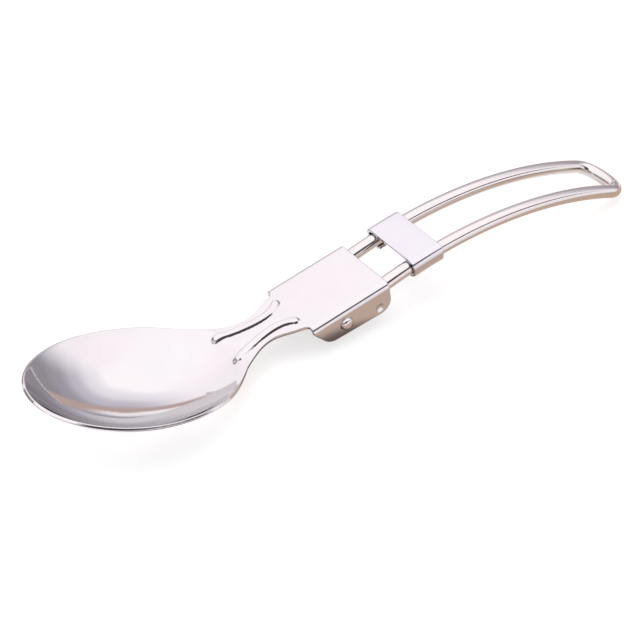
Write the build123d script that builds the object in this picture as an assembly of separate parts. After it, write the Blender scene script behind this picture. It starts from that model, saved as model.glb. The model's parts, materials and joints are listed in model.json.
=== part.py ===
"""Folding spoon: a pressed sheet head, a bent wire handle that folds under the bowl, and a lock that slides on it.

The pieces are drawn with the flat plate level: X runs from the bowl's tip towards the handle's loop, Z is up, and
the origin is the middle of the plate's rear edge on its top face. They are then tilted to the way the open spoon
stands on a table, on the bowl's underside and the loop, with the origin under the middle of the whole spoon.
"""

from build123d import *
import math
import os

# Sheet and wire
sheet = 0.8
wire_diameter = 3.0
wire_radius = wire_diameter / 2

# Flat plate with a flange bent down along each side
plate_width = 16.6
plate_length = 19.5
bend_outer_radius = 1.5
flange_front_height = 6.2
flange_rear_height = 7.0
flange_front_rake = 3.3
flange_front_radius = 3.5
flange_rear_radius = 2.6

# Hinge: the wire's ends, bent outwards, pass through the flanges
pivot_from_rear = 11.6
pin_clearance = 0.05
pin_stand_out = 0.9
pin_dome_radius = 0.9
pin_bend_radius = 1.7
stop_clearance = 0.05
leg_angle = 6.0

# Detent dimples, pressed inwards in the flanges just under the open legs
dimple_from_rear = 3.1
dimple_drop = 5.0
dimple_diameter = 2.2
dimple_depth = 0.45
dimple_rise = 0.2
dimple_clearance = 0.05

# Wire handle beyond the plate, bowed in side view and closed by a loop
bow_radius = 100.0
handle_reach = 69.0
loop_depth = 4.2
loop_fullness_share = 0.67
pin_bend_share = 0.55

# Bowl
bowl_centre_from_rear = 56.8
bowl_front_length = 20.5
bowl_half_width = 16.3
bowl_depth = 8.2
dish_back_length = 22.5
dish_rim_margin = 0.45
dish_fullness_share = 2.3
dish_easing_share = 0.11
rim_rise_share = 0.43
rim_rise_behind_centre = 19.8
rim_rise_easing = 6.0

# Outline of the neck: share of the way from the bowl's centre to the plate, and half the width there as a share of
# the bowl's half width for the first two points, and of the plate's flat half width for the others
hip_shares = (0.39, 0.773)
throat_shares = (0.58, 0.448)
neck_shares = (0.81, 0.61)
shoulder_shares = (0.95, 0.86)
shoulder_flare_share = 1.4

# Stiffening beads raised on the neck: the ends and the two pulls of one bead's middle line, as shares of the same way
# and of the plate's flat half width
bead_shares = [(0.58, 0.56), (0.73, 0.32), (0.89, 0.12), (0.97, 0.5)]
bead_outer_radius = 1.25
bead_height = 0.5
bead_wall = 0.7

# Sliding lock
lock_length = 7.7
lock_sheet = 0.7
lock_clearance = 0.15
lock_fold_radius = 1.6
lock_from_plate = 6.8
lock_wrap_angle = 235.0

# Overrun of the cutting shapes, and spacing of the pressed surface's lines
overrun = 2.0
surface_step = 2.0
settle_step = 0.1

# Places that follow from the sizes above
flange_outer = plate_width / 2
flange_inner = flange_outer - sheet
fold_line = flange_outer - bend_outer_radius
leg_offset = flange_inner - dimple_rise - dimple_clearance - wire_radius
leg_drop = sheet + wire_radius + stop_clearance
lean = math.radians(leg_angle)
pivot_drop = leg_drop + pivot_from_rear * math.tan(lean)
pivot = Vector(-pivot_from_rear, 0, -pivot_drop)
bow_length = handle_reach - loop_depth
bow_centre = Vector(bow_radius * math.sin(lean), 0, -leg_drop - bow_radius * math.cos(lean))
tip_from_rear = bowl_centre_from_rear + bowl_front_length
rim_rise_start = bowl_centre_from_rear - rim_rise_behind_centre
neck_length = bowl_centre_from_rear - plate_length


def eased(value, easing):
    """Zero below the easing, the value itself above it, and a rounded corner between."""
    if value <= -easing:
        return 0
    if value >= easing:
        return value
    return (value + easing) ** 2 / easing / 4


def rim_height(x):
    """Height of the sheet before it is dished: level at the plate, then rising towards the tip."""
    return rim_rise_share * eased(-x - rim_rise_start, rim_rise_easing)


def rim_slope(x):
    """Angle of the undished sheet, which grows evenly over the easing."""
    ahead = -x - rim_rise_start
    growth = min(max((ahead + rim_rise_easing) / rim_rise_easing / 2, 0), 1)
    return math.atan(rim_rise_share * growth)


def dish_depth(x, y):
    """How far the bowl is pressed below the undished sheet."""
    along = x + bowl_centre_from_rear
    length = bowl_front_length + dish_rim_margin if along < 0 else dish_back_length
    across = y / (bowl_half_width + dish_rim_margin)
    share = 1 - math.hypot(along / length, across) ** dish_fullness_share
    return bowl_depth * eased(share, dish_easing_share)


def sheet_point(x, y):
    """A point on the top of the sheet: the dish is pressed square to the undished sheet."""
    depth = dish_depth(x, y)
    slope = rim_slope(x)
    return (x - depth * math.sin(slope), y, rim_height(x) - depth * math.cos(slope))


def spread(start, end, step):
    """Evenly spaced values from start to end, about one step apart."""
    count = math.ceil((end - start) / step)
    return [start + (end - start) * i / count for i in range(count + 1)]


def on_neck(shares, half_width, height=0):
    """A place given by its shares of the way from the bowl's centre to the plate, and of this half width."""
    along, across = shares
    return (along * neck_length - bowl_centre_from_rear, across * half_width, height)


def head_outline():
    """The head's edge seen from above, from the bowl's tip to just behind the start of the plate."""
    side = [(-bowl_centre_from_rear, bowl_half_width)]
    side += [on_neck(shares, bowl_half_width) for shares in (hip_shares, throat_shares)]
    side += [on_neck(shares, fold_line) for shares in (neck_shares, shoulder_shares)]
    side += [(-plate_length, fold_line)]
    flare = Vector(1, shoulder_flare_share)
    flank = Spline(*side, tangents=[(1, 0), flare])
    overshoot = Line(flank @ 1, flank @ 1 + overrun * flare)
    centre = Location((-bowl_centre_from_rear, 0))
    tip = centre * EllipticalCenterArc((0, 0), bowl_front_length, bowl_half_width, start_angle=90)
    half = [tip, flank, overshoot]
    other = [mirror(edge, Plane.XZ) for edge in half]
    rear = Line(overshoot @ 1, mirror(overshoot, Plane.XZ) @ 1)
    return make_face(Curve() + half + other + rear)


def pressed_sheet():
    """Bowl and neck: a surface through lines both ways, trimmed to the outline and given its thickness."""
    half_width = bowl_half_width + overrun
    columns = spread(-half_width, half_width, surface_step)
    rows = spread(-tip_from_rear - overrun, -plate_length, surface_step) + [-plate_length + overrun]
    across = [Spline(*[sheet_point(x, y) for y in columns]) for x in rows]
    along = [Spline(*[sheet_point(x, y) for x in rows]) for y in columns]
    surface = Face.make_gordon_surface(across, along)
    blank = extrude(Pos(0, 0, -tip_from_rear) * head_outline(), 2 * tip_from_rear)
    trimmed = (surface & blank).face()
    formed = Solid.thicken(trimmed, -sheet, normal_override=(0, 0, 1))
    return split(formed, bisect_by=Plane.YZ.offset(-plate_length), keep=Keep.BOTTOM)


def channel():
    """The plate and its bent flanges: a channel section, cut to the flanges' rounded side view."""
    height = 2 * (max(flange_front_height, flange_rear_height) + overrun)
    outer = RectangleRounded(plate_width, height, bend_outer_radius)
    inner = RectangleRounded(plate_width - 2 * sheet, height - 2 * sheet, bend_outer_radius - sheet)
    section = Pos(0, -height / 2) * (outer - inner)
    bar = extrude(Plane.YZ.offset(-plate_length) * section, plate_length)
    front_foot = (-plate_length + flange_front_rake, -flange_front_height)
    rear_foot = (0, -flange_rear_height)
    corners = [(-plate_length, 0), (-plate_length, -bend_outer_radius), front_foot, rear_foot, (0, 0)]
    view = make_face(Polyline(*corners, close=True))
    for foot, radius in ((front_foot, flange_front_radius), (rear_foot, flange_rear_radius)):
        corner = view.vertices().sort_by_distance(foot)[0]
        view = fillet(corner, radius)
    return bar & extrude(Plane.XZ * view, plate_width, both=True)


def bead_line():
    """Middle of one bead's round bar, set so low that the bar stands only a little proud of the sheet."""
    drop = bead_outer_radius - bead_height
    return Bezier(*[on_neck(shares, fold_line, -drop) for shares in bead_shares])


def bead_bar(section):
    """A bar of this section along the middle of one bead."""
    line = bead_line()
    aside = (line % 0).cross(Vector(0, 0, 1))
    return sweep(Plane(line @ 0, x_dir=aside, z_dir=line % 0) * section, path=line)


def bead_ridge():
    """The raised upper side of one bead: the top of a round bar with ball ends."""
    line = bead_line()
    bar = bead_bar(Circle(bead_outer_radius))
    bar = bar + [Pos(line @ end) * Sphere(bead_outer_radius) for end in (0, 1)]
    return split(bar, bisect_by=Plane.XY.offset(-sheet / 2), keep=Keep.TOP)


def cap(diameter, rise):
    """A shallow ball cap that rises from the plane z = 0, with as much depth below the plane."""
    half = diameter / 2
    radius = (half**2 + rise**2) / rise / 2
    return Pos(0, 0, rise - radius) * Sphere(radius) & Cylinder(half, 2 * rise)


def spoon_head():
    """The pressed sheet with its beads, plate and flanges, hinge holes and detent dimples."""
    head = pressed_sheet() + channel()
    ridge = bead_ridge()
    groove_width = 2 * (bead_outer_radius - bead_wall)
    groove = bead_bar(Rectangle(groove_width, groove_width))
    head = head + [ridge, mirror(ridge, Plane.XZ)]
    head = head - [groove, mirror(groove, Plane.XZ)]
    hole = Cylinder(wire_radius + pin_clearance, plate_width + overrun, rotation=(90, 0, 0))
    head = head - Pos(pivot) * hole
    for side in (1, -1):
        outside = Vector(-dimple_from_rear, side * flange_outer, -dimple_drop)
        inside = Vector(-dimple_from_rear, side * flange_inner, -dimple_drop)
        head = head + Plane(inside, z_dir=(0, -side, 0)) * cap(dimple_diameter, dimple_rise)
        head = head - Plane(outside, z_dir=(0, -side, 0)) * cap(dimple_diameter, dimple_depth)
    return head


def bow_heading(reach):
    """Angle above the plate of the bowed wire, this far along it from the plate's rear edge."""
    return lean - reach / bow_radius


def bow_point(reach, side=0):
    """Centre of the bowed wire, this far along it from the plate's rear edge."""
    heading = bow_heading(reach)
    return bow_centre + bow_radius * Vector(-math.sin(heading), 0, math.cos(heading)) + Vector(0, side, 0)


def wire_half():
    """Centre line of one leg, from its pin's end to the middle of the loop."""
    leg = Vector(math.cos(lean), 0, math.sin(lean))
    end = bow_heading(bow_length)
    ahead = Vector(math.cos(end), 0, math.sin(end))
    outwards = Vector(0, 1, 0)
    bend = pivot + leg_offset * outwards
    pin_start = bend + pin_bend_radius * outwards
    leg_start = bend + pin_bend_radius * leg
    pull = (1 - pin_bend_share) * pin_bend_radius
    corner = bow_point(bow_length, leg_offset)
    loop_middle = bow_point(bow_length) + loop_depth * ahead
    loop_pull = loop_fullness_share * loop_depth * ahead
    bar_pull = loop_fullness_share * leg_offset * outwards
    return [
        Line(pivot + (flange_outer + pin_stand_out) * outwards, pin_start),
        Bezier(pin_start, bend + pull * outwards, bend + pull * leg, leg_start),
        Line(leg_start, bow_point(0, leg_offset)),
        ThreePointArc(bow_point(0, leg_offset), bow_point(bow_length / 2, leg_offset), corner),
        Bezier(corner, corner + loop_pull, loop_middle + bar_pull, loop_middle),
    ]


def wire_handle():
    """One round wire: pin, leg, loop, leg and pin, with the pins' ends domed."""
    half = wire_half()
    other = [mirror(edge, Plane.XZ) for edge in half]
    path = Wire([line.edge() for line in half + other])
    start = half[0] @ 0
    wire = sweep(Plane(start, z_dir=half[0] % 0) * Circle(wire_radius), path=path)
    pin_reach = abs(start.Y)
    ends = wire.edges().filter_by(lambda edge: math.isclose(abs(edge.center().Y), pin_reach))
    return fillet(ends, pin_dome_radius)


def sliding_lock():
    """A flat strip on top of the legs, with each long edge curled round and under its leg."""
    inner = wire_radius + lock_clearance
    outer = inner + lock_sheet
    turn = math.radians(90 - lock_wrap_angle)
    lip = Vector(math.cos(turn), math.sin(turn))
    leg = Vector(leg_offset, 0)
    fold = leg + Vector(outer - lock_fold_radius, outer - lock_fold_radius)
    edges = [Line((0, inner), (0, outer)), Line(leg + outer * lip, leg + inner * lip)]
    for radius, fold_radius in ((inner, lock_fold_radius - lock_sheet), (outer, lock_fold_radius)):
        edges += [
            Line((0, radius), (fold.X, radius)),
            CenterArc(fold, fold_radius, 90, -90),
            Line((leg.X + radius, fold.Y), (leg.X + radius, 0)),
            CenterArc(leg, radius, 0, 90 - lock_wrap_angle),
        ]
    half = make_face(Curve() + edges)
    section = half + mirror(half, Plane.YZ)
    middle = lock_from_plate + lock_length / 2
    heading = bow_heading(middle)
    ahead = Vector(math.cos(heading), 0, math.sin(heading))
    place = Plane(bow_point(middle), x_dir=(0, 1, 0), z_dir=ahead)
    return place * extrude(section, lock_length / 2, both=True)


def resting_angle():
    """Tilt that brings the bowl's underside and the loop's end down to one level."""
    middle = [sheet_point(x, 0) for x in spread(-tip_from_rear, -plate_length, settle_step)]
    end = bow_heading(bow_length)
    loop = bow_point(bow_length) + loop_depth * Vector(math.cos(end), 0, math.sin(end))
    low, high = 0, math.pi / 4
    for _ in range(50):
        tilt = (low + high) / 2
        bowl_level = min(x * math.sin(tilt) + z * math.cos(tilt) for x, _, z in middle) - sheet
        loop_level = loop.X * math.sin(tilt) + loop.Z * math.cos(tilt) - wire_radius
        low, high = (tilt, high) if loop_level < bowl_level else (low, tilt)
    return math.degrees(tilt)


tilt = resting_angle()
pieces = {"spoon_head": spoon_head(), "wire_handle": wire_handle(), "sliding_lock": sliding_lock()}
tilted = {name: Rot(0, -tilt, 0) * piece for name, piece in pieces.items()}
box = Compound(children=list(tilted.values())).bounding_box()
to_table = Pos(-box.center().X, 0, -box.min.Z) * Rot(0, -tilt, 0)

os.makedirs("parts", exist_ok=True)
for name, piece in pieces.items():
    placed = to_table * piece
    placed.label = name
    export_step(placed, f"parts/{name}.step")
    size = placed.bounding_box().size
    print(name, f"{size.X:.2f} x {size.Y:.2f} x {size.Z:.2f} mm")

size = box.size
print(f"whole spoon {size.X:.2f} x {size.Y:.2f} x {size.Z:.2f} mm, plate tilted {tilt:.2f} degrees")
for name, point in (("fold axis", pivot), ("slide centre", bow_centre)):
    place = (to_table * Pos(point)).position
    print(f"{name} at {place.X:.3f}, {place.Y:.3f}, {place.Z:.3f} mm")
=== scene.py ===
# %% [markdown]
# # A folding camping spoon in polished stainless steel
# The real spoon is three pieces of metal: a pressed sheet head, a bent wire handle and a small sheet lock
# that slides on the wire. The solid model gives their sizes and joints. This file makes the same pieces
# again as fine, smooth meshes, because mirror polish shows every facet, and gives them their finish, a
# floor, light and a camera.

# %% Load the frame
import json
import math

import bpy
import numpy as np
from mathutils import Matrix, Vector


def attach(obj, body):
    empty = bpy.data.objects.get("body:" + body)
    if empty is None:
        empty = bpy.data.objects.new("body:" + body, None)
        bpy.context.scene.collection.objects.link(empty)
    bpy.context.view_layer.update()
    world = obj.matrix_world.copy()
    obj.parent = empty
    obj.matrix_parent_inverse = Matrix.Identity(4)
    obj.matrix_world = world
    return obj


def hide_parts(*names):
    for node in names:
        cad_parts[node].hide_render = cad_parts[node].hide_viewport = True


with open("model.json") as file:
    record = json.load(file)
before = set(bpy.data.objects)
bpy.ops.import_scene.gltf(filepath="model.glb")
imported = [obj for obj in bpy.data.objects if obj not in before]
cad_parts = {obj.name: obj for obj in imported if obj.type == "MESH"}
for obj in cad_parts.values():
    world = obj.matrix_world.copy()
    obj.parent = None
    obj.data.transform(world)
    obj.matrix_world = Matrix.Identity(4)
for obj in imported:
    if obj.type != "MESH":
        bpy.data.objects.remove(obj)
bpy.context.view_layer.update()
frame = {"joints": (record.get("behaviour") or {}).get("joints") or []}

# %% [markdown]
# ## The plate's own frame
# All lengths are in millimetres in the frame of the flat plate: X runs towards the handle's loop, Z is
# up, and the origin is the middle of the plate's rear edge. The record places two hinges: the handle's
# pins, and the middle of the curve that the lock slides along. Both are known in the plate's frame too,
# so they say how the plate lies in the open spoon, and nothing is fitted by eye.

# %% Lay the plate's frame in the spoon's frame
MM_PER_METRE = 1000
PIVOT = (-11.6, -3.5692)
LEAN = math.radians(6.0)
BOW = 100.0
LEG_DROP = 2.35
BOW_CENTRE = (BOW * math.sin(LEAN), -LEG_DROP - BOW * math.cos(LEAN))

joints = {joint["name"]: joint for joint in frame["joints"]}
fold = np.array(joints["handle_fold"]["pos_m"]) * MM_PER_METRE
slide = np.array(joints["lock_slide"]["pos_m"]) * MM_PER_METRE
in_plate = math.atan2(BOW_CENTRE[1] - PIVOT[1], BOW_CENTRE[0] - PIVOT[0])
in_spoon = math.atan2(slide[2] - fold[2], slide[0] - fold[0])
TILT = in_spoon - in_plate
TURN = np.array([[math.cos(TILT), 0, -math.sin(TILT)], [0, 1, 0], [math.sin(TILT), 0, math.cos(TILT)]])
SHIFT = fold - TURN @ np.array([PIVOT[0], 0, PIVOT[1]])


def to_metres(points):
    """Plate-frame millimetres to metres in the spoon's frame."""
    return (np.asarray(points, float) @ TURN.T + SHIFT) / MM_PER_METRE


print("plate tilted", round(math.degrees(TILT), 3), "degrees, shift", SHIFT.round(3))

# %% [markdown]
# ## The head as one rule, starting with the bowl
# The head is pressed from one flat blank. It could be modelled by hand and subdivided, but a mirror would
# show every ripple of that. Instead one function says where the press takes each point of the blank, and
# its fine differences give exact normals. A place on the blank is (x, t), where t is measured along the
# metal across the spoon. First comes the bowl: an oval dish, pressed square into a sheet that rises
# towards the tip.

# %% Depth of the bowl and rise of its rim
PLATE_LENGTH = 19.5
BOWL_X = -56.8
BOWL_FRONT = 20.5
BOWL_HALF = 16.3
BOWL_DEPTH = 8.2
DISH_BACK = 22.5
DISH_END = -PLATE_LENGTH - 0.5
DISH_MARGIN = 0.45
DISH_FULLNESS = 2.3
DISH_EASING = 0.11
RISE_SHARE = 0.43
RISE_MIDDLE = 37.0
RISE_EASING = 6.0


def eased(value, easing):
    """Zero below, the value itself above, and a rounded corner between."""
    middle = (value + easing) ** 2 / easing / 4
    return np.where(value <= -easing, 0, np.where(value >= easing, value, middle))


def dish_depth(x, t):
    """How far the bowl is pressed below the sheet."""
    along = x - BOWL_X
    length = np.where(along < 0, BOWL_FRONT + DISH_MARGIN, DISH_BACK)
    share = 1 - np.hypot(along / length, t / (BOWL_HALF + DISH_MARGIN)) ** DISH_FULLNESS
    return np.where(x < DISH_END, BOWL_DEPTH * eased(share, DISH_EASING), 0)


def rim_rise(x):
    """Height and slope of the sheet before it is dished."""
    height = RISE_SHARE * eased(-x - RISE_MIDDLE, RISE_EASING)
    growth = (-x - (RISE_MIDDLE - RISE_EASING)) / (2 * RISE_EASING)
    return height, np.arctan(RISE_SHARE * np.clip(growth, 0, 1))


tip_rise = rim_rise(BOWL_X - BOWL_FRONT)[0]
print("bowl", dish_depth(BOWL_X, 0), "mm deep, rim's rise at the tip", tip_rise.round(2), "mm")

# %% [markdown]
# ## The stiffening beads
# Two ridges run from the bowl over the narrow neck to the plate and keep the neck from bending. The same
# stroke presses them, so they are one more term of the rule. Each follows a Bezier curve, set by shares
# of the neck's length and the plate's width. Its flat crown between straight flanks mirrors the wide dark
# line of the real beads, which a round one doesn't.

# %% Height of the beads
PLATE_WIDTH = 16.6
BEND = 1.5
FOLD = PLATE_WIDTH / 2 - BEND
NECK = -PLATE_LENGTH - BOWL_X
BEAD_SHARES = [(0.58, 0.56), (0.73, 0.32), (0.89, 0.12), (0.97, 0.5)]
BEAD_STEPS = 24
BEAD_HALF = 1.02
BEAD_HEIGHT = 0.53
BEAD_FLANK = math.radians(48)
BEAD_END = -17.0
CROWN_EASING = 0.12
FOOT_EASING = 0.06


def bezier(pulls, steps):
    """Points along a cubic Bezier curve."""
    t = np.linspace(0, 1, steps + 1)[:, None]
    a, b, c, d = np.asarray(pulls, float)
    return a * (1 - t) ** 3 + b * 3 * t * (1 - t) ** 2 + c * 3 * t * t * (1 - t) + d * t**3


bead_line = bezier([(BOWL_X + along * NECK, across * FOLD) for along, across in BEAD_SHARES], BEAD_STEPS)


def bead_rise(x, t):
    """Height of the two beads, which mirror each other."""
    gap = np.full(np.shape(x), np.inf)
    for start, end in zip(bead_line[:-1], bead_line[1:]):
        run = end - start
        ahead = x - start[0]
        aside = np.abs(t) - start[1]
        share = np.clip((ahead * run[0] + aside * run[1]) / (run @ run), 0, 1)
        gap = np.minimum(gap, np.hypot(ahead - share * run[0], aside - share * run[1]))
    flank = (BEAD_HALF - gap) * math.tan(BEAD_FLANK)
    crown = BEAD_HEIGHT - eased(BEAD_HEIGHT - flank, CROWN_EASING)
    return np.where(x < BEAD_END, eased(crown, FOOT_EASING), 0)


print("bead", bead_rise(*bead_line[BEAD_STEPS // 2]).round(2), "mm high, ends", bead_line[[0, -1]].round(1))

# %% [markdown]
# ## The detent dimples
# Each flange has a small round dimple, punched inwards, that the handle's leg clicks past. Its depth
# falls off softly, so that the reflection swirls round it without a seam.

# %% Depth of a dimple
DIMPLE = (-3.1, -5.0)
DIMPLE_REACH = 1.2
DIMPLE_DEPTH = 0.45
DIMPLE_SOFTNESS = 1.5


def dimple_share(x, z):
    """How deep a dimple is here, from 0 to 1."""
    reach = np.hypot(x - DIMPLE[0], z - DIMPLE[1]) / DIMPLE_REACH
    return np.where(reach < 1, (1 - np.minimum(reach, 1) ** 2) ** DIMPLE_SOFTNESS, 0)


print("dimple", DIMPLE_DEPTH * dimple_share(*DIMPLE), "mm deep at", DIMPLE)

# %% [markdown]
# ## Plate, bends and flanges
# Behind the neck the sheet is flat, and past the fold line it turns down over a quarter circle into the
# flanges. As t follows the metal, the bend keeps its length, as a real bend does. One function brings
# bowl, beads, bends and dimples together, and another takes its slope in both directions for the normals.

# %% Where the press takes a point of the blank
BEND_ARC = BEND * math.pi / 2
JOIN = 0.001


def pressed(x, t):
    """Top of the metal for a point of the blank."""
    x, t = np.broadcast_arrays(np.asarray(x, float), np.asarray(t, float))
    across = np.abs(t)
    angle = np.clip((across - FOLD) / BEND, 0, math.pi / 2)
    below = np.maximum(across - FOLD - BEND_ARC, 0)
    on_plate = x > -PLATE_LENGTH - JOIN
    dimple = DIMPLE_DEPTH * dimple_share(x, -BEND - below) * (below > 0)
    side = FOLD + BEND * np.sin(angle) - dimple
    y = np.where(on_plate & (across > FOLD), np.sign(t) * side, t)
    depth = dish_depth(x, t)
    rise, slope = rim_rise(x)
    bead = bead_rise(x, t)
    z_plate = -BEND * (1 - np.cos(angle)) - below + bead * (across < FOLD)
    z_bowl = rise - depth * np.cos(slope) + bead
    return np.stack([x - depth * np.sin(slope), y, np.where(on_plate, z_plate, z_bowl)], -1)


def pressed_normal(x, t, step=0.004):
    """Upward normal of the pressed metal."""
    along = pressed(x + step, t) - pressed(x - step, t)
    across = pressed(x, t + step) - pressed(x, t - step)
    normal = np.cross(along, across)
    return normal / np.linalg.norm(normal, axis=-1, keepdims=True)


print("bottom of the bowl", pressed(BOWL_X, 0).round(2), "plate's normal", pressed_normal(-1, 0).round(3))

# %% [markdown]
# ## Thick sheet with rounded edges
# Sheet metal is a skin with a thickness, and polishing rounds its cut edges. The Solidify and Bevel
# modifiers make that too, but they replace the exact normals. These helpers take points on one face with
# their normals, drop a second face below it, and close every edge and hole with a rounded rim.

# %% The section of a cut edge and the rings it runs round
SHEET = 0.8
EDGE = 0.24
ROUND_STEPS = 4


def edge_profile(thick, radius):
    """Outward and downward places round a cut edge, and the normal's outward and upward shares."""
    rows = []
    for k in range(1, ROUND_STEPS + 1):
        a = math.pi / 2 * k / ROUND_STEPS
        rows.append((radius * math.sin(a), radius * (1 - math.cos(a)), math.sin(a), math.cos(a)))
    for k in range(ROUND_STEPS):
        a = math.pi / 2 * k / ROUND_STEPS
        down = thick - radius + radius * math.sin(a)
        rows.append((radius * math.cos(a), down, math.cos(a), -math.sin(a)))
    return rows


def boundary_loops(quads):
    """Closed rings of point numbers round the skin and its holes, in the order of the faces."""
    seen = set()
    for face in quads:
        for a, b in zip(face, face[1:] + face[:1]):
            seen.add((a, b))
    follow = {a: b for a, b in seen if (b, a) not in seen}
    loops = []
    while follow:
        start = next(iter(follow))
        ring = [start]
        here = follow.pop(start)
        while here != start:
            ring.append(here)
            here = follow.pop(here)
        loops.append(ring)
    return loops


print("rows round a cut edge", len(edge_profile(SHEET, EDGE)))

# %% Give a skin its thickness
def strip(first, second):
    """Faces between two rings of point numbers."""
    return np.stack([first, second, np.roll(second, -1), np.roll(first, -1)], 1).tolist()


def thick_sheet(name, points, normals, quads, thick, radius):
    """A closed piece from one face of a sheet, its faces counter-clockwise seen from above."""
    points = np.asarray(points, float)
    normals = np.asarray(normals, float)
    count = len(points)
    thick = np.broadcast_to(thick, count)
    all_points = [points, points - normals * thick[:, None]]
    all_normals = [normals, -normals]
    faces = quads + [[n + count for n in reversed(face)] for face in quads]
    total = 2 * count
    for ring in boundary_loops(quads):
        ring = np.array(ring)
        chord = points[np.roll(ring, -1)] - points[np.roll(ring, 1)]
        outward = np.cross(chord, normals[ring])
        outward /= np.linalg.norm(outward, axis=1, keepdims=True)
        profiles = np.array([edge_profile(t, radius) for t in thick[ring]])
        previous = ring
        for row in range(profiles.shape[1]):
            out, down, out_share, up_share = np.split(profiles[:, row], 4, axis=1)
            all_points.append(points[ring] + outward * out - normals[ring] * down)
            all_normals.append(outward * out_share + normals[ring] * up_share)
            current = np.arange(total, total + len(ring))
            total += len(ring)
            faces += strip(previous, current)
            previous = current
        faces += strip(previous, ring + count)
    mesh = bpy.data.meshes.new(name)
    mesh.from_pydata(to_metres(np.vstack(all_points)), [], faces)
    mesh.shade_smooth()
    turned = np.vstack(all_normals) @ TURN.T
    mesh.normals_split_custom_set_from_vertices(turned.tolist())
    piece = bpy.data.objects.new(name, mesh)
    bpy.context.scene.collection.objects.link(piece)
    print(name, len(mesh.vertices), "points,", len(mesh.polygons), "faces")
    return piece


print("a strip of faces", strip(np.arange(3), np.arange(3, 6)))

# %% [markdown]
# ## Outline of the blank
# The blank's tip is a half ellipse, and each flank is one smooth curve, down to the narrow neck and out
# again to the plate. A curve object could draw it, but the mesh needs the width at any x, so a spline
# through six measured points gives it. The mesh stops short of the cut edge by the edge's rounding, which
# the rim adds.

# %% A smooth curve through measured points
def spline_slopes(knots, gap, first, last):
    """Slopes that make the curve's bending even from one stretch to the next."""
    n = len(knots)
    system = np.zeros((n, n))
    right = np.zeros((n, 2))
    system[0, 0] = system[-1, -1] = 1
    right[0] = np.array(first) / np.linalg.norm(first)
    right[-1] = np.array(last) / np.linalg.norm(last)
    for i in range(1, n - 1):
        system[i, i - 1] = gap[i]
        system[i, i] = 2 * (gap[i - 1] + gap[i])
        system[i, i + 1] = gap[i - 1]
        before = (knots[i] - knots[i - 1]) / gap[i - 1]
        after = (knots[i + 1] - knots[i]) / gap[i]
        right[i] = 3 * (gap[i] * before + gap[i - 1] * after)
    return np.linalg.solve(system, right)


def lengths_along(path):
    """Length from the path's start to each of its points."""
    return np.concatenate([[0], np.cumsum(np.linalg.norm(np.diff(path, axis=0), axis=1))])


def clamped_spline(knots, first, last, samples):
    """A smooth curve through the knots that starts and ends in the given directions."""
    length = lengths_along(knots)
    gap = np.diff(length)
    slopes = spline_slopes(knots, gap, first, last)
    where = np.linspace(0, length[-1], samples)
    i = np.clip(np.searchsorted(length, where, side="right") - 1, 0, len(knots) - 2)
    h = gap[i][:, None]
    u = ((where - length[i]) / gap[i])[:, None]
    a = (1 + 2 * u) * (1 - u) ** 2
    b = u * (1 - u) ** 2 * h
    c = u * u * (3 - 2 * u)
    d = u * u * (u - 1) * h
    return a * knots[i] + b * slopes[i] + c * knots[i + 1] + d * slopes[i + 1]


print("lengths along a corner", lengths_along(np.array([(0, 0), (3, 0), (3, 4)])))

# %% Half width of bowl and neck
OUTLINE_SHARES = [(0, BOWL_HALF), (0.39, 0.773 * BOWL_HALF), (0.58, 0.448 * BOWL_HALF)]
OUTLINE_SHARES += [(0.81, 0.61 * FOLD), (0.95, 0.86 * FOLD), (1, FOLD)]
START_HEADING = (1, 0)
SHOULDER_HEADING = (1, 1.4)
OUTLINE_SAMPLES = 400

knots = np.array([(BOWL_X + along * NECK, half_width) for along, half_width in OUTLINE_SHARES])
flank = clamped_spline(knots, START_HEADING, SHOULDER_HEADING, OUTLINE_SAMPLES)
heading = np.gradient(flank, axis=0)
heading /= np.linalg.norm(heading, axis=1, keepdims=True)
inset = flank + EDGE * np.stack([heading[:, 1], -heading[:, 0]], 1)
print("narrowest half width", flank[:, 1].min().round(3))

# %% [markdown]
# ## The middle of the skin
# The skin is a net of four-sided faces, because a net with even rows mirrors evenly. One block reaches
# from the tip to the plate's rear edge. Its rows bunch up at the tip, which keeps the tip round.

# %% Rows from the tip to the plate's rear edge
HALF_COLUMNS = 44
TIP_ROWS = 60
TIP_END = 88
NECK_ROWS = 150
PLATE_ROWS = 96
FRONT_EDGE = -PLATE_LENGTH + EDGE
REAR_EDGE = -EDGE

tip_angle = np.radians(np.linspace(TIP_END, 0, TIP_ROWS))
tip_x = BOWL_X - (BOWL_FRONT - EDGE) * np.sin(tip_angle)
tip_width = (BOWL_HALF - EDGE) * np.cos(tip_angle)
neck_x = np.linspace(BOWL_X, FRONT_EDGE, NECK_ROWS)[1:]
neck_width = np.interp(neck_x, inset[:, 0], inset[:, 1])
neck_width[-1] = FOLD
plate_x = np.linspace(FRONT_EDGE, REAR_EDGE, PLATE_ROWS + 1)
first_plate_row = TIP_ROWS + len(neck_x) - 1
row_x = np.concatenate([tip_x, neck_x, plate_x[1:]])
row_width = np.concatenate([tip_width, neck_width, np.full(PLATE_ROWS, FOLD)])
column = np.linspace(-1, 1, 2 * HALF_COLUMNS + 1)
print(len(row_x), "rows of", len(column), "points, from", row_x[0].round(2), "to", row_x[-1])

# %% Blocks of points and faces
blank = []
quads = []


def add_block(x, t, shared=None):
    """Adds a grid of blank points, whose rows run along x. Its first column can be shared."""
    rows, columns = x.shape
    numbers = np.zeros((rows, columns), int)
    first = 0
    if shared is not None:
        numbers[:, 0] = shared
        first = 1
    for j in range(first, columns):
        numbers[:, j] = np.arange(len(blank), len(blank) + rows)
        blank.extend(zip(x[:, j], t[:, j]))
    return numbers


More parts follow.
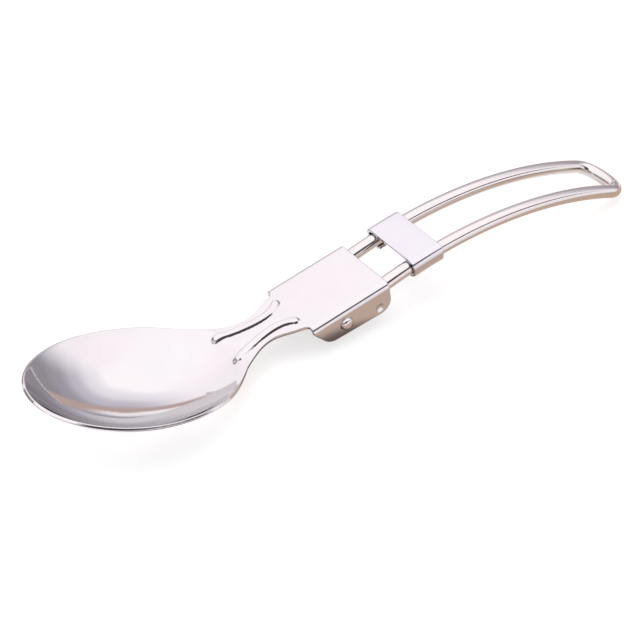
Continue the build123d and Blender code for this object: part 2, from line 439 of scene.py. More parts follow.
def add_faces(numbers, flip=False, hole=None):
    """Adds the grid's faces, counter-clockwise seen from above, except those in a square hole."""
    rows, columns = numbers.shape
    for i in range(rows - 1):
        for j in range(columns - 1):
            if hole and hole[0] <= i < hole[2] and hole[1] <= j < hole[3]:
                continue
            face = [numbers[i, j], numbers[i + 1, j], numbers[i + 1, j + 1], numbers[i, j + 1]]
            quads.append([int(n) for n in (face[::-1] if flip else face)])


main = add_block(np.repeat(row_x[:, None], len(column), 1), row_width[:, None] * column[None, :])
add_faces(main)
print("middle block", len(blank), "points,", len(quads), "faces")

# %% [markdown]
# ## The flanges' outline
# A flange has a slanted front, a foot that slopes a little, and rounded corners. Its outline is found as
# a maker would draw it: straight edges move inwards by the edge's rounding, their crossings give the
# corners, and each corner gets an arc.

# %% Helpers for straight edges and rounded corners
CORNER_STEPS = 16


def moved_in(line):
    """The step that moves a line inwards by the edge's rounding."""
    return EDGE * np.array([-line[1], line[0]]) / np.linalg.norm(line)


def meet(p, u, q, v):
    """Where two lines cross."""
    s = np.linalg.solve(np.array([u, -v]).T, q - p)
    return p + s[0] * u


def arc_corner(before, corner, after, radius):
    """Points of a rounded corner between two straight edges."""
    a = (before - corner) / np.linalg.norm(before - corner)
    b = (after - corner) / np.linalg.norm(after - corner)
    half = math.acos(np.clip(a @ b, -1, 1)) / 2
    centre = corner + (a + b) / np.linalg.norm(a + b) * radius / math.sin(half)
    start = corner + a * radius / math.tan(half)
    end = corner + b * radius / math.tan(half)
    first = math.atan2(*(start - centre)[::-1])
    sweep = (math.atan2(*(end - centre)[::-1]) - first + math.pi) % (2 * math.pi) - math.pi
    angles = first + sweep * np.linspace(0, 1, CORNER_STEPS + 1)
    return centre + radius * np.stack([np.cos(angles), np.sin(angles)], 1)


def resample(path, count):
    """The same line with evenly spaced points."""
    length = lengths_along(path)
    where = np.linspace(0, length[-1], count)
    return np.stack([np.interp(where, length, path[:, 0]), np.interp(where, length, path[:, 1])], 1)


print("a level edge moves in by", moved_in(np.array([1.0, 0.0])), "mm")

# %% Draw the flange's four edges
FLANGE_COLUMNS = 30
FLANGE_FRONT = 6.2
FLANGE_REAR = 7.0
FLANGE_RAKE = 3.3
FRONT_ROUND = 3.5
REAR_ROUND = 2.6

foot_front = np.array([-PLATE_LENGTH + FLANGE_RAKE, -FLANGE_FRONT])
front_line = foot_front - np.array([-PLATE_LENGTH, -BEND])
foot_line = np.array([0.0, -FLANGE_REAR]) - foot_front
foot_start = foot_front + moved_in(foot_line)
rear_top = np.array([REAR_EDGE, 0.0])
front_corner = meet(foot_front + moved_in(front_line), front_line, foot_start, foot_line)
rear_corner = meet(rear_top, np.array([0.0, 1.0]), foot_start, foot_line)
front_arc = arc_corner(np.array([FRONT_EDGE, -BEND]), front_corner, rear_corner, FRONT_ROUND)
rear_arc = arc_corner(front_corner, rear_corner, rear_top, REAR_ROUND)
half_arc = CORNER_STEPS // 2
top = np.stack([plate_x, np.full(PLATE_ROWS + 1, -BEND)], 1)
left = resample(np.vstack([top[0], front_arc[: half_arc + 1]]), FLANGE_COLUMNS + 1)
bottom = resample(np.vstack([front_arc[half_arc:], rear_arc[: half_arc + 1]]), PLATE_ROWS + 1)
right = resample(np.vstack([top[-1], rear_arc[half_arc:][::-1]]), FLANGE_COLUMNS + 1)
print("flange corners", front_corner.round(3), rear_corner.round(3))

# %% [markdown]
# ## Filling the flanges
# The net of a flange has to meet the bend's rows above and the curved outline below. Blending opposite
# edges, and taking away what the corners count twice, gives such a net, a Coons patch. For the pin hole a
# square of faces is left out, and rings shrink from its border to the hole's circle.

# %% Blend the four edges
u = np.linspace(0, 1, PLATE_ROWS + 1)[:, None, None]
v = np.linspace(0, 1, FLANGE_COLUMNS + 1)[None, :, None]
flange = (1 - v) * top[:, None] + v * bottom[:, None] + (1 - u) * left[None] + u * right[None]
flange -= (1 - u) * (1 - v) * top[0] + u * (1 - v) * top[-1] + (1 - u) * v * bottom[0] + u * v * bottom[-1]


def flange_t(z):
    """Place along the metal of a height on the flange."""
    return FOLD + BEND_ARC - BEND - z


print("flange", flange.shape[:2], "points, lowest", flange[..., 1].min().round(3))

# %% The square that is left out for the pin hole
HOLE = 1.55
HOLE_EDGE = 0.1
HOLE_ROOM = 0.5
HOLE_RINGS = 5

near_pivot = np.argwhere(np.hypot(flange[..., 0] - PIVOT[0], flange[..., 1] - PIVOT[1]) < HOLE + HOLE_ROOM)
i0, j0 = near_pivot.min(0) - 1
i1, j1 = near_pivot.max(0) + 1
border = [(i, j0) for i in range(i0, i1)] + [(i1, j) for j in range(j0, j1)]
border += [(i, j1) for i in range(i1, i0, -1)] + [(i0, j) for j in range(j1, j0, -1)]
square = np.array([flange[i, j] for i, j in border])
angle = np.arctan2(square[:, 1] - PIVOT[1], square[:, 0] - PIVOT[0])
circle = np.array(PIVOT) + (HOLE + HOLE_EDGE) * np.stack([np.cos(angle), np.sin(angle)], 1)
print("pin hole", 2 * HOLE, "mm across")

# %% Add bend, flange and hole on both sides
BEND_COLUMNS = 14


def add_hole(grid, side):
    """Adds the rings between the square and the pin hole."""
    previous = np.array([grid[i, j] for i, j in border])
    for k in range(1, HOLE_RINGS + 1):
        share = k / HOLE_RINGS
        points = square * (1 - share) + circle * share
        numbers = np.arange(len(blank), len(blank) + len(points))
        blank.extend(zip(points[:, 0], side * flange_t(points[:, 1])))
        for a, b, c, d in zip(previous, np.roll(previous, -1), np.roll(numbers, -1), numbers):
            face = [int(a), int(b), int(c), int(d)]
            quads.append(face if side > 0 else face[::-1])
        previous = numbers


bend_x = np.repeat(plate_x[:, None], BEND_COLUMNS + 1, 1)
bend_t = np.repeat(FOLD + BEND_ARC * np.linspace(0, 1, BEND_COLUMNS + 1)[None], PLATE_ROWS + 1, 0)
for side in (1, -1):
    seam = main[first_plate_row:, -1 if side > 0 else 0]
    bend_grid = add_block(bend_x, side * bend_t, seam)
    add_faces(bend_grid, flip=side < 0)
    flange_grid = add_block(flange[..., 0], side * flange_t(flange[..., 1]), bend_grid[:, -1])
    add_faces(flange_grid, flip=side < 0, hole=(i0, j0, i1, j1))
    add_hole(flange_grid, side)
print("whole skin", len(blank), "points,", len(quads), "faces")

# %% [markdown]
# ## From the blank to the head
# Now the rule presses every point of the blank at once, and the helper gives the skin its 0.8 mm.
# Punching a dimple stretches the sheet, so it is a little thinner there.

# %% Press the head
DIMPLE_THINNING = 0.25

blank = np.array(blank)
across = np.abs(blank[:, 1])
z_flange = -BEND - np.maximum(across - FOLD - BEND_ARC, 0)
thinning = DIMPLE_THINNING * dimple_share(blank[:, 0], z_flange) * (across > FOLD + BEND_ARC)
skin = pressed(blank[:, 0], blank[:, 1])
skin_normal = pressed_normal(blank[:, 0], blank[:, 1])
head = thick_sheet("head_pressing", skin, skin_normal, quads, SHEET - thinning, EDGE)

# %% [markdown]
# ## The wire handle's path
# The handle is one round wire bent on pegs: a pin through each flange hole, a tight bend, a straight leg
# under the plate, a bow behind it and a loop that joins the legs. Points computed from the same arcs as
# the solid keep the pins exactly on the hinge, which a curve shaped by hand wouldn't.

# %% Half of the wire's centre line
LEG = 5.75
BOW_LENGTH = 64.8
LOOP = 4.2
LOOP_FULLNESS = 0.67
PIN_BEND = 1.7
PIN_BEND_SHARE = 0.55
PIN_END = 9.2
PIN_FINE_TO = 8.1
PIN_COARSE_FROM = 8.0
FINE_POINTS = 14
COARSE_POINTS = 4
PIN_BEND_STEPS = 15
LEG_STEPS = 14
BOW_STEPS = 110
LOOP_STEPS = 36


def bow_point(reach, side):
    """Centre of the bowed wire, this far behind the plate's rear edge."""
    a = LEAN - reach / BOW
    return np.array((BOW_CENTRE[0] - BOW * math.sin(a), side, BOW_CENTRE[1] + BOW * math.cos(a)))


def wire_path():
    """From the pin's end to the middle of the loop."""
    leg = np.array([math.cos(LEAN), 0, math.sin(LEAN)])
    pivot = np.array([PIVOT[0], 0, PIVOT[1]])
    out = np.array([0, 1.0, 0])
    bend = pivot + LEG * out
    pull = (1 - PIN_BEND_SHARE) * PIN_BEND
    pin_fine = np.linspace(PIN_END, PIN_FINE_TO, FINE_POINTS)
    pin_coarse = np.linspace(PIN_COARSE_FROM, LEG + PIN_BEND, COARSE_POINTS)
    points = [pivot + out * y for y in np.concatenate([pin_fine, pin_coarse])]
    pulls = [points[-1], bend + pull * out, bend + pull * leg, bend + PIN_BEND * leg]
    points += list(bezier(pulls, PIN_BEND_STEPS)[1:])
    start = points[-1]
    end = bow_point(0, LEG)
    points += [start + (end - start) * k / LEG_STEPS for k in range(1, LEG_STEPS + 1)]
    points += [bow_point(BOW_LENGTH * k / BOW_STEPS, LEG) for k in range(1, BOW_STEPS + 1)]
    a = LEAN - BOW_LENGTH / BOW
    ahead = np.array([math.cos(a), 0, math.sin(a)])
    corner = points[-1]
    middle = bow_point(BOW_LENGTH, 0) + LOOP * ahead
    pulls = [corner, corner + LOOP_FULLNESS * LOOP * ahead, middle + LOOP_FULLNESS * LEG * out, middle]
    return np.array(points + list(bezier(pulls, LOOP_STEPS)[1:]))


half = wire_path()
print("loop's end", half[-1].round(2))

# %% The whole path as a mesh of edges
path = np.vstack([half, (half * np.array([1, -1, 1]))[::-1][1:]])
path_mesh = bpy.data.meshes.new("wire_path")
path_mesh.from_pydata(to_metres(path), [(i, i + 1) for i in range(len(path) - 1)], [])
wire = bpy.data.objects.new("wire_handle_bent", path_mesh)
bpy.context.scene.collection.objects.link(wire)
print("wire length", lengths_along(path)[-1].round(1), "mm")

# %% [markdown]
# ## The wire's roundness
# Wire has one round section, apart from its domed pin ends. A bevelled curve object has flat ends, so a
# Geometry Nodes tree turns the path into a curve, narrows its last stretch along a quarter circle, and
# sweeps a circle. Diameter, dome, sides and finish are inputs, so the same tree would serve other wires.

# %% Start the wire's tree
NODES_IN_A_ROW = 8
NODE_WIDTH = 220
NODE_HEIGHT = 320


def add_step(tree, kind, sources=(), **settings):
    """One node with its settings. A source is a value, a socket, or a node for its first output."""
    row, place_in_row = divmod(len(tree.nodes), NODES_IN_A_ROW)
    node = tree.nodes.new(kind)
    node.location = (NODE_WIDTH * place_in_row, -NODE_HEIGHT * row)
    for name, value in settings.items():
        setattr(node, name, value)
    named = sources if isinstance(sources, dict) else dict(enumerate(sources))
    for name, source in named.items():
        if isinstance(source, bpy.types.Node):
            source = next(output for output in source.outputs if output.enabled)
        if isinstance(source, bpy.types.NodeSocket):
            tree.links.new(source, node.inputs[name])
        else:
            node.inputs[name].default_value = source
    return node


tube = bpy.data.node_groups.new("wire_with_domed_ends", "GeometryNodeTree")
inputs = {"Path": "Geometry", "Diameter": "Float", "Dome": "Float", "Sides": "Int", "Finish": "Material"}
for name, kind in inputs.items():
    tube.interface.new_socket(name=name, in_out="INPUT", socket_type="NodeSocket" + kind)
tube.interface.new_socket(name="Wire", in_out="OUTPUT", socket_type="NodeSocketGeometry")
given = add_step(tube, "NodeGroupInput").outputs
curve = add_step(tube, "GeometryNodeMeshToCurve", [given["Path"]])
print("tree inputs", [item.name for item in tube.interface.items_tree])

# %% Share of the full radius near the two ends
reach = add_step(tube, "GeometryNodeSplineParameter").outputs["Length"]
whole = add_step(tube, "GeometryNodeSplineLength").outputs["Length"]
rest = add_step(tube, "ShaderNodeMath", [whole, reach], operation="SUBTRACT")
nearest = add_step(tube, "ShaderNodeMath", [reach, rest], operation="MINIMUM")
inside_dome = add_step(tube, "ShaderNodeMath", [nearest, given["Dome"]], operation="MINIMUM")
back = add_step(tube, "ShaderNodeMath", [given["Dome"], inside_dome], operation="SUBTRACT")
back_squared = add_step(tube, "ShaderNodeMath", [back, back], operation="MULTIPLY")
dome_squared = add_step(tube, "ShaderNodeMath", [given["Dome"], given["Dome"]], operation="MULTIPLY")
under = add_step(tube, "ShaderNodeMath", [dome_squared, back_squared], operation="SUBTRACT")
root = add_step(tube, "ShaderNodeMath", [under], operation="SQRT")
radius = add_step(tube, "ShaderNodeMath", [given["Diameter"], 0.5], operation="MULTIPLY")
core = add_step(tube, "ShaderNodeMath", [radius, given["Dome"]], operation="SUBTRACT")
dome_radius = add_step(tube, "ShaderNodeMath", [core, root], operation="ADD")
share = add_step(tube, "ShaderNodeMath", [dome_radius, radius], operation="DIVIDE")
print("nodes so far", len(tube.nodes))

# %% Sweep a circle along the path
ring_sources = {"Resolution": given["Sides"], "Radius": radius}
ring = add_step(tube, "GeometryNodeCurvePrimitiveCircle", ring_sources, mode="RADIUS")
narrowed = add_step(tube, "GeometryNodeSetCurveRadius", {"Curve": curve, "Radius": share})
sweep_sources = {"Curve": narrowed, "Profile Curve": ring, "Fill Caps": True}
sweep = add_step(tube, "GeometryNodeCurveToMesh", sweep_sources)
# Newer versions of this node take the share from their own input, older ones from the curve.
if "Scale" in sweep.inputs:
    tube.links.new(share.outputs["Value"], sweep.inputs["Scale"])
real = add_step(tube, "GeometryNodeRealizeInstances", {"Geometry": sweep})
smooth = add_step(tube, "GeometryNodeSetShadeSmooth", {"Geometry": real})
coated = add_step(tube, "GeometryNodeSetMaterial", {"Geometry": smooth, "Material": given["Finish"]})
add_step(tube, "NodeGroupOutput", {"Wire": coated})
print("wire tree", len(tube.nodes), "nodes,", len(tube.links), "links")

# %% [markdown]
# ## Finishes
# All three pieces are stainless steel, polished until they mirror the room, so the colour is nearly
# neutral and the reflection does the rest. The making tells them apart: the sheet was polished on a soft
# wheel, and the wire was drawn through a die and keeps lines along its length. One recipe of noise nodes
# takes the sizes of the traces in millimetres, and unlike an image it stays sharp at any distance.

# %% Colours and pattern sizes
def linear(code):
    """Linear colour from an sRGB hex code."""
    values = [int(code[i : i + 2], 16) / 255 for i in (1, 3, 5)]
    return tuple(v / 12.92 if v <= 0.04045 else ((v + 0.055) / 1.055) ** 2.4 for v in values) + (1.0,)


def new_material(name):
    """An empty material with its node tree."""
    material = bpy.data.materials.new(name)
    material.use_nodes = True
    material.node_tree.nodes.clear()
    return material, material.node_tree


def per_metre(size):
    """How often a pattern of this size in millimetres repeats in a metre."""
    return MM_PER_METRE / size


print("white is", linear("#FFFFFF"), "repeats of 4 mm in a metre", per_metre(4))

# %% The recipe for polished stainless steel
HAZE_SIZE = 6.0
HAZE_DETAIL = 4.0
HAZE_SPAN = (0.35, 0.75)
LINE_DETAIL = 3.0
LINE_STRENGTH = 0.02
LINE_DEPTH = 0.2


def hazy_roughness(tree, position, dullness):
    """Soft patches of haze, and the roughness that they bring."""
    haze_sources = {"Vector": position, "Scale": per_metre(HAZE_SIZE), "Detail": HAZE_DETAIL}
    haze = add_step(tree, "ShaderNodeTexNoise", haze_sources)
    span = {"From Min": HAZE_SPAN[0], "From Max": HAZE_SPAN[1]}
    target = {"To Min": dullness[0], "To Max": dullness[1]}
    return haze, add_step(tree, "ShaderNodeMapRange", {"Value": haze, **span, **target})


def fine_lines(tree, position, length, spacing):
    """Shallow lines along the spoon, as a bumped normal."""
    stretch = (per_metre(length), per_metre(spacing), per_metre(spacing))
    drawn = add_step(tree, "ShaderNodeMapping", {"Vector": position, "Scale": stretch})
    lines = add_step(tree, "ShaderNodeTexNoise", {"Vector": drawn, "Scale": 1.0, "Detail": LINE_DETAIL})
    depth = {"Strength": LINE_STRENGTH, "Distance": LINE_DEPTH / MM_PER_METRE}
    return add_step(tree, "ShaderNodeBump", {"Height": lines, **depth})


def polished_stainless(name, tints, dullness, line_length, line_spacing):
    """Stainless steel that mirrors the room, with patches of haze and fine lines along the spoon."""
    material, tree = new_material(name)
    position = add_step(tree, "ShaderNodeTexCoord").outputs["Object"]
    haze, rough = hazy_roughness(tree, position, dullness)
    bump = fine_lines(tree, position, line_length, line_spacing)
    tint_sources = {"Factor": haze, "A": linear(tints[0]), "B": linear(tints[1])}
    tint = add_step(tree, "ShaderNodeMix", tint_sources, data_type="RGBA")
    sources = {"Base Color": tint, "Metallic": 1.0, "Roughness": rough, "Normal": bump}
    shader = add_step(tree, "ShaderNodeBsdfPrincipled", sources)
    add_step(tree, "ShaderNodeOutputMaterial", {"Surface": shader})
    print(name, len(tree.nodes), "nodes")
    return material


# %% Three finishes
SHEET_DULLNESS = (0.05, 0.08)
SHEET_LINES = (2.5, 0.4)
WIRE_DULLNESS = (0.07, 0.11)
WIRE_LINES = (4.0, 0.3)

# Stainless sheet, pressed and then wheel polished: a clean mirror with a breath of haze. The wheel's lines
# are about 0.02 mm apart, too fine to show, so they are drawn 0.4 mm apart and very shallow.
tints = ("#CBCBCC", "#C5C5C7")
sheet_steel = polished_stainless("wheel_polished_stainless_sheet", tints, SHEET_DULLNESS, *SHEET_LINES)

# Stainless wire, drawn through a die and tumbled bright: a slightly softer mirror. Die lines are about
# 0.03 mm apart and are drawn 0.3 mm apart, running along the legs.
tints = ("#CDCBCA", "#C7C5C4")
wire_steel = polished_stainless("die_drawn_stainless_wire", tints, WIRE_DULLNESS, *WIRE_LINES)

# Thin stainless sheet, curled in a tool after polishing: the same mirror as the head, a shade cooler.
tints = ("#C8C9CE", "#C3C3C9")
lock_steel = polished_stainless("curled_stainless_lock_sheet", tints, SHEET_DULLNESS, *SHEET_LINES)

# %% [markdown]
# ## From the tree to a plain mesh
# The tree gets its values, its result is taken as a plain mesh, and the modifier is removed before the
# piece is told which body it rides, so that nothing is lost on the way to other programs.

# %% Apply the wire's tree
WIRE = 3.0
PIN_DOME = 0.9
WIRE_SIDES = 48

swept = wire.modifiers.new("wire_with_domed_ends", "NODES")
swept.node_group = tube
sockets = {item.name: item.identifier for item in tube.interface.items_tree if item.in_out == "INPUT"}
swept[sockets["Diameter"]] = WIRE / MM_PER_METRE
swept[sockets["Dome"]] = PIN_DOME / MM_PER_METRE
swept[sockets["Sides"]] = WIRE_SIDES
swept[sockets["Finish"]] = wire_steel
bpy.context.view_layer.update()
done = bpy.data.meshes.new_from_object(wire.evaluated_get(bpy.context.evaluated_depsgraph_get()))
wire.modifiers.clear()
wire.data = done
print("wire", len(done.vertices), "points", [m.name for m in done.materials])

# %% [markdown]
# ## The sliding lock
# The lock is a strip of the same bright sheet, flat on top of the two legs, with both long edges curled
# round and under them. A modifier could bend a plate, but here the section is drawn once and set along
# the wire's own bow, so it fits the legs and gets its thickness from the same helper.

# %% The lock's section
LOCK_SHEET = 0.7
LOCK_ROOM = 0.15
LOCK_OUTER = WIRE / 2 + LOCK_ROOM + LOCK_SHEET
LOCK_FOLD = 1.6
LOCK_EDGE = 0.2
WRAP = math.radians(235) - LOCK_EDGE / LOCK_OUTER
FLAT_POINTS = 14
FOLD_POINTS = 14
CURL_POINTS = 40


def lock_section():
    """Outer face of the lock across the spoon: places and normals."""
    rows = []
    rise = LOCK_OUTER - LOCK_FOLD
    for y in np.linspace(0, LEG + rise, FLAT_POINTS)[:-1]:
        rows.append((y, LOCK_OUTER, 0, 1))
    for a in np.linspace(0, math.pi / 2, FOLD_POINTS):
        out = math.sin(a)
        up = math.cos(a)
        rows.append((LEG + rise + LOCK_FOLD * out, rise + LOCK_FOLD * up, out, up))
    for a in np.linspace(math.pi / 2, WRAP, CURL_POINTS):
        out = math.sin(a)
        up = math.cos(a)
        rows.append((LEG + LOCK_OUTER * out, LOCK_OUTER * up, out, up))
    half = np.array(rows)
    other = half[::-1][:-1] * np.array([-1, 1, -1, 1])
    return np.vstack([other, half])


section = lock_section()
print("lock's section", len(section), "points,", 2 * section[:, 0].max().round(2), "mm wide")

# %% Build the lock along the bow
LOCK_LENGTH = 7.7
LOCK_FROM_PLATE = 6.8
LOCK_ROWS = 36

lock_start = LOCK_FROM_PLATE + LOCK_EDGE
lock_end = LOCK_FROM_PLATE + LOCK_LENGTH - LOCK_EDGE
lock_points = []
lock_normals = []
for reach_back in np.linspace(lock_start, lock_end, LOCK_ROWS):
    a = LEAN - reach_back / BOW
    rise = np.array([-math.sin(a), 0, math.cos(a)])
    for y, h, ny, nh in section:
        lock_points.append(bow_point(reach_back, 0) + np.array([0, y, 0]) + h * rise)
        lock_normals.append(np.array([0, ny, 0]) + nh * rise)
width = len(section)
lock_quads = []
for i in range(LOCK_ROWS - 1):
    for j in range(width - 1):
        n = i * width + j
        lock_quads.append([n, n + width, n + width + 1, n + 1])
lock = thick_sheet("lock_curled", lock_points, lock_normals, lock_quads, LOCK_SHEET, LOCK_EDGE)

# %% [markdown]
# ## Bodies, solids and slots
# Each mesh rides the body of the solid that it stands for, so the hinge and the slide move it as they
# move the solid. The slot names the material of the record that it shows, and is only printed.

# %% Ride the bodies and stand for the solids
for piece, body, node, slot, finish in (
    (head, "head", "spoon_head", "pressed_steel", sheet_steel),
    (wire, "handle", "wire_handle", "wire_steel", wire_steel),
    (lock, "lock", "sliding_lock", "lock_steel", lock_steel),
):
    if not piece.data.materials:
        piece.data.materials.append(finish)
    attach(piece, body)
    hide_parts(node)
    print(piece.name, "rides", body, "for", node, "in", slot)

# %% [markdown]
# ## Floor and even light
# The photograph has a plain white ground. Paper with a little glow of its own keeps it white and leaves a
# faint shadow. The world gives even light: white to the camera and in reflections, and dimmer on the
# floor.

# %% Floor
FLOOR_SIZE = 6
FLOOR_GLOW = 0.6

bpy.ops.mesh.primitive_plane_add(size=FLOOR_SIZE)
floor = bpy.context.object
floor.name = "floor"
# Matte white paper: pale and even, with no mirror image of the spoon in it.
paper, tree = new_material("white_paper_floor")
lit = add_step(tree, "ShaderNodeBsdfDiffuse", {"Color": linear("#F4F4F4")})
glow = add_step(tree, "ShaderNodeEmission", {"Color": linear("#FFFFFF"), "Strength": FLOOR_GLOW})
both = add_step(tree, "ShaderNodeAddShader", [lit, glow])
add_step(tree, "ShaderNodeOutputMaterial", {"Surface": both})
floor.data.materials.append(paper)
print("floor", FLOOR_SIZE, "m wide,", paper.name)

# %% World
WORLD_LIGHT = 0.4
WORLD_SEEN = 1.0

world = bpy.data.worlds.new("white_room")
bpy.context.scene.world = world
world.use_nodes = True
tree = world.node_tree
tree.nodes.clear()
ray = add_step(tree, "ShaderNodeLightPath").outputs
seen = add_step(tree, "ShaderNodeMath", [ray["Is Camera Ray"], ray["Is Glossy Ray"]], operation="MAXIMUM")
dim = add_step(tree, "ShaderNodeBackground", {"Color": linear("#FFFFFF"), "Strength": WORLD_LIGHT})
bright = add_step(tree, "ShaderNodeBackground", {"Color": linear("#FFFFFF"), "Strength": WORLD_SEEN})
mixed = add_step(tree, "ShaderNodeMixShader", [seen, dim, bright])
add_step(tree, "ShaderNodeOutputWorld", {"Surface": mixed})
print("world", world.name, "lights with", WORLD_LIGHT)

# %% [markdown]
# ## The room that the metal mirrors
# Polished metal has no colour of its own to show: it shows the room. In the photograph that is a pale
# tent over a table, greyer low down beyond the handle and dark behind the camera. No image is needed: a
# dome is painted patch by patch, by bearing and height. Only mirror rays see it, and it doesn't move with
# the camera.

# %% Helpers for painting the room
def only_mirrored(thing):
    """Keeps a piece of the room out of sight except in reflections."""
    thing.visible_camera = False
    thing.visible_diffuse = False
    thing.visible_shadow = False
    thing.visible_transmission = False


def heights_to_colours(tree, value, stops):
    """Colours by height above the horizon, in degrees."""
    share = add_step(tree, "ShaderNodeMapRange", {"Value": value, "From Min": -90.0, "From Max": 90.0})
    ramp = add_step(tree, "ShaderNodeValToRGB", [share])
    ramp.color_ramp.interpolation = "EASE"
    for (height, code), element in zip(stops[:2], ramp.color_ramp.elements):
        element.position = (height + 90) / 180
        element.color = linear(code)
    for height, code in stops[2:]:
        ramp.color_ramp.elements.new((height + 90) / 180).color = linear(code)
    return ramp


def fade(tree, value, start, end):
    """1 where the value is at the start or before it, softly down to 0 at the end."""
    sources = {"Value": value, "From Min": end, "From Max": start, "To Min": 0.0, "To Max": 1.0}
    return add_step(tree, "ShaderNodeMapRange", sources, interpolation_type="SMOOTHSTEP")


def ring_share(tree, where, middle, reach):
    """How far out a place lies in an ellipse: 0 in its middle and 1 on its edge."""
    offset = add_step(tree, "ShaderNodeVectorMath", [where, (*middle, 0.0)], operation="SUBTRACT")
    scaled = add_step(tree, "ShaderNodeVectorMath", [offset, (*reach, 1.0)], operation="DIVIDE")
    return add_step(tree, "ShaderNodeVectorMath", [scaled], operation="LENGTH")


def paint(tree, colours, share, code):
    """The colours with a new one laid over them where the share is 1."""
    sources = {"Factor": share, "A": colours, "B": linear(code)}
    return add_step(tree, "ShaderNodeMix", sources, data_type="RGBA")


def add_patch(tree, colours, where, patch):
    """The colours with one more soft ellipse on them: its middle, reach, fading edge and own colour."""
    middle, reach, (full, gone), code = patch
    return paint(tree, colours, fade(tree, ring_share(tree, where, middle, reach), full, gone), code)


print("mid grey is painted as", linear("#808080"))

# %% The dome and its bearings
DOME_RADIUS = 4.0

bpy.ops.mesh.primitive_uv_sphere_add(segments=64, ring_count=32, radius=DOME_RADIUS)
dome = bpy.context.object
dome.name = "light_tent"
# Thin white cloth, lit from outside: what the polished metal shows as soft greys and whites.
tent, tree = new_material("light_tent_cloth")
position = add_step(tree, "ShaderNodeTexCoord").outputs["Object"]
unit = add_step(tree, "ShaderNodeVectorMath", [position], operation="NORMALIZE")
axes = add_step(tree, "ShaderNodeSeparateXYZ", [unit]).outputs
height_angle = add_step(tree, "ShaderNodeMath", [axes["Z"]], operation="ARCSINE")
height = add_step(tree, "ShaderNodeMath", [height_angle], operation="DEGREES")
bearing_angle = add_step(tree, "ShaderNodeMath", [axes["Y"], axes["X"]], operation="ARCTAN2")
bearing = add_step(tree, "ShaderNodeMath", [bearing_angle], operation="DEGREES")
where = add_step(tree, "ShaderNodeCombineXYZ", {"X": bearing, "Y": height})
print("dome", DOME_RADIUS, "m in radius")

# %% Pale cloth with a greyer opening
OPENING_BEARING = 24.0
OPENING_FULL = 22.0
OPENING_GONE = 51.0
CLOTH_STOPS = [(-90, "#DDD6DA"), (0, "#F0EAEE"), (25, "#F6EEF2"), (38, "#FBF2F5"), (60, "#FFF7FA")]
CLOTH_STOPS += [(90, "#FFFAFD")]
GREY_STOPS = [(-90, "#948E94"), (5, "#908A92"), (16, "#9D97A0"), (27, "#BEB9C2"), (37, "#E4DEE5")]
GREY_STOPS += [(48, "#FFF8FA"), (90, "#FFFAFD")]

away = add_step(tree, "ShaderNodeMath", [bearing, OPENING_BEARING], operation="SUBTRACT")
aside = add_step(tree, "ShaderNodeMath", [away], operation="ABSOLUTE")
opening = fade(tree, aside, OPENING_FULL, OPENING_GONE)
cloth = heights_to_colours(tree, height, CLOTH_STOPS)
grey = heights_to_colours(tree, height, GREY_STOPS)
room = add_step(tree, "ShaderNodeMix", {"Factor": opening, "A": cloth, "B": grey}, data_type="RGBA")
print("opening at bearing", OPENING_BEARING)

# %% [markdown]
# ## An arch low in the opening
# The bowl and the wire show a warm curved band that is pale inside its right half and grey within. All
# three are rings of one ellipse, so they are cut from the same measure.

# %% The arch
ARCH = ((50.0, 0.0), (24.0, 21.5))
ARCH_BAND = (1.06, 1.24)
ARCH_PALE = (0.83, 0.95)
ARCH_CORE = (0.52, 0.74)
RIGHT_HALF = (48.0, 34.0)

arch = ring_share(tree, where, *ARCH)
room = paint(tree, room, fade(tree, arch, *ARCH_BAND), "#B39D97")
right_half = fade(tree, bearing, *RIGHT_HALF)
inside_arch = fade(tree, arch, *ARCH_PALE)
pale = add_step(tree, "ShaderNodeMath", [right_half, inside_arch], operation="MULTIPLY")
room = paint(tree, room, pale, "#EFE7EA")
room = paint(tree, room, fade(tree, arch, *ARCH_CORE), "#9A969E")
print("arch reaches", ARCH[1][1], "degrees up")

# %% [markdown]
# ## The dark side
# The beads, the lock's curls and the sides of the wire show dark bands, because they mirror the unlit
# side of the room. It is three overlapping ellipses, and a slanted low band runs on from them near the
# horizon.

# %% Dark patches
DARK_PATCHES = (
    ((-105.0, 34.0), (45.0, 25.0), (0.7, 1.1), "#4A4548"),
    ((140.0, 12.0), (38.0, 15.0), (0.8, 1.05), "#857F82"),
    ((-155.0, 16.0), (32.0, 15.0), (0.8, 1.05), "#6A6467"),
)
LOW_BAND = ((-55.0, -1.0), (32.0, 9.0), (0.6, 1.1), "#463D3D")
LOW_BAND_SLANT = 0.57

for patch in DARK_PATCHES:
    room = add_patch(tree, room, where, patch)
level = add_step(tree, "ShaderNodeMath", [bearing, LOW_BAND_SLANT, height], operation="MULTIPLY_ADD")
slanted = add_step(tree, "ShaderNodeCombineXYZ", {"X": bearing, "Y": level})
room = add_patch(tree, room, slanted, LOW_BAND)
print("dark patches", len(DARK_PATCHES), "and one low band")

# %% Light up the dome
ROOM_GLOW = 1.68

glow = add_step(tree, "ShaderNodeEmission", {"Color": room, "Strength": ROOM_GLOW})
add_step(tree, "ShaderNodeOutputMaterial", {"Surface": glow})
dome.data.materials.append(tent)
only_mirrored(dome)
print("room", len(tree.nodes), "nodes")

# %% [markdown]
# ## The table that the metal mirrors
# Faces that look down or sideways mirror the table: tan beside the bowl, greyer beyond, and dark where
# the spoon keeps the light off. The floor has to stay white for the camera, so a thin round top lies just
# above it that only reflections find.

# %% The table top
TABLE_RADIUS = 0.6
TABLE_LIFT = 0.00002
TABLE_SIDES = 96

bpy.ops.mesh.primitive_circle_add(
    vertices=TABLE_SIDES, radius=TABLE_RADIUS, fill_type="NGON", location=(0, 0, TABLE_LIFT)
)
table = bpy.context.object
table.name = "warm_table"
print("table", 2 * TABLE_RADIUS, "m wide")

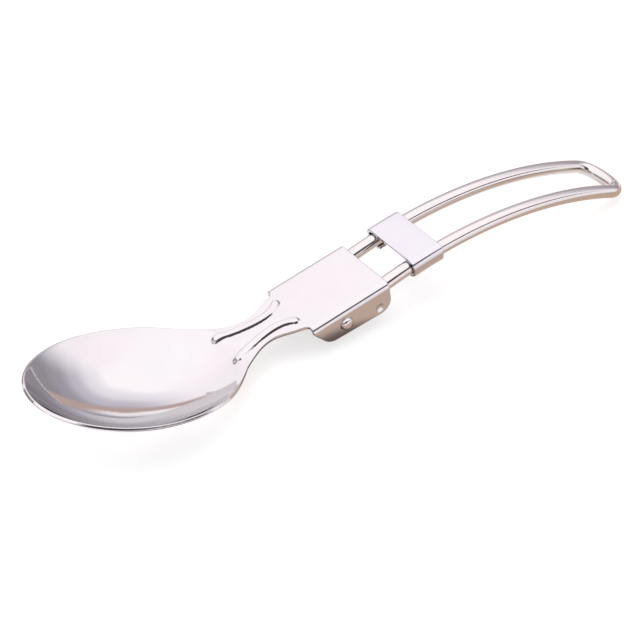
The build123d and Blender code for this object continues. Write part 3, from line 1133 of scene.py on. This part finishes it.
# %% Paint the table top
TABLE_GLOW = 1.48
WARM_BACK = (-0.004, 0.006)
WARM_FRONT = (-0.030, -0.022)
WARM_END = (-0.028, -0.044)
GREY_BEYOND = (0.024, 0.014)
# Painted shadow: dark patches on the table under the plate and under the bowl, where the spoon keeps the
# light off.
SHADOW_UNDER_PLATE = ((-0.008, -0.002), (0.020, 0.011), (0.8, 1.1), "#6A5C59")
SHADOW_UNDER_BOWL = ((-0.0535, -0.024), (0.018, 0.014), (0.6, 1.1), "#665855")

# Glowing top, pale with a tan band beside the spoon and grey beyond: it warms the underside of the polished
# metal.
table_paint, tree = new_material("warm_table_top")
position = add_step(tree, "ShaderNodeTexCoord").outputs["Object"]
axes = add_step(tree, "ShaderNodeSeparateXYZ", [position]).outputs
before = fade(tree, axes["Y"], *WARM_BACK)
within = fade(tree, axes["Y"], *WARM_FRONT)
beside = add_step(tree, "ShaderNodeMath", [before, within], operation="SUBTRACT")
at_bowl = fade(tree, axes["X"], *WARM_END)
warm = add_step(tree, "ShaderNodeMath", [beside, at_bowl], operation="MULTIPLY")
top = paint(tree, linear("#F0EAED"), warm, "#C4AC9D")
top = paint(tree, top, fade(tree, axes["Y"], *GREY_BEYOND), "#958D93")
# Painted shadow under the plate and under the bowl.
top = add_patch(tree, top, position, SHADOW_UNDER_PLATE)
top = add_patch(tree, top, position, SHADOW_UNDER_BOWL)
glow = add_step(tree, "ShaderNodeEmission", {"Color": top, "Strength": TABLE_GLOW})
add_step(tree, "ShaderNodeOutputMaterial", {"Surface": glow})
table.data.materials.append(table_paint)
only_mirrored(table)
print("table", len(tree.nodes), "nodes")

# %% [markdown]
# ## Lamp
# The shadow in a light tent is soft and faint, so one broad disk hangs above the spoon. Mirror rays pass
# it, because its image would be a hard white spot that the bowl doesn't show.

# %% One soft lamp
LAMP_SIZE = 0.9
LAMP_POWER = 1.6
LAMP_PLACE = (-0.15, 0.2, 0.8)

lamp_data = bpy.data.lights.new("softbox", "AREA")
lamp_data.shape = "DISK"
lamp_data.size = LAMP_SIZE
lamp_data.energy = LAMP_POWER
lamp = bpy.data.objects.new("softbox", lamp_data)
lamp.location = LAMP_PLACE
lamp.rotation_euler = (-Vector(LAMP_PLACE)).to_track_quat("-Z", "Y").to_euler()
lamp.visible_glossy = False
bpy.context.scene.collection.objects.link(lamp)
print("lamp", LAMP_SIZE, "m wide,", LAMP_POWER, "W")

# %% [markdown]
# ## Camera
# Place, direction and lens come from matching the spoon's known points to the photograph. The plain
# Standard view keeps white white.

# %% The photograph's view
LENS = 123.06
SENSOR = 36.0
FAR_END = 20
CAMERA_PLACE = (-0.212107, -0.279791, 0.292323)
CAMERA_TURN = (49.9704, 0.5212, -36.7508)

camera_data = bpy.data.cameras.new("camera")
camera_data.lens = LENS
camera_data.sensor_width = SENSOR
camera_data.clip_end = FAR_END
camera = bpy.data.objects.new("camera", camera_data)
camera.location = CAMERA_PLACE
camera.rotation_euler = [math.radians(a) for a in CAMERA_TURN]
bpy.context.scene.collection.objects.link(camera)
bpy.context.scene.camera = camera
bpy.context.scene.view_settings.view_transform = "Standard"
print("camera", round(camera.location.length, 3), "m away, lens", LENS, "mm")
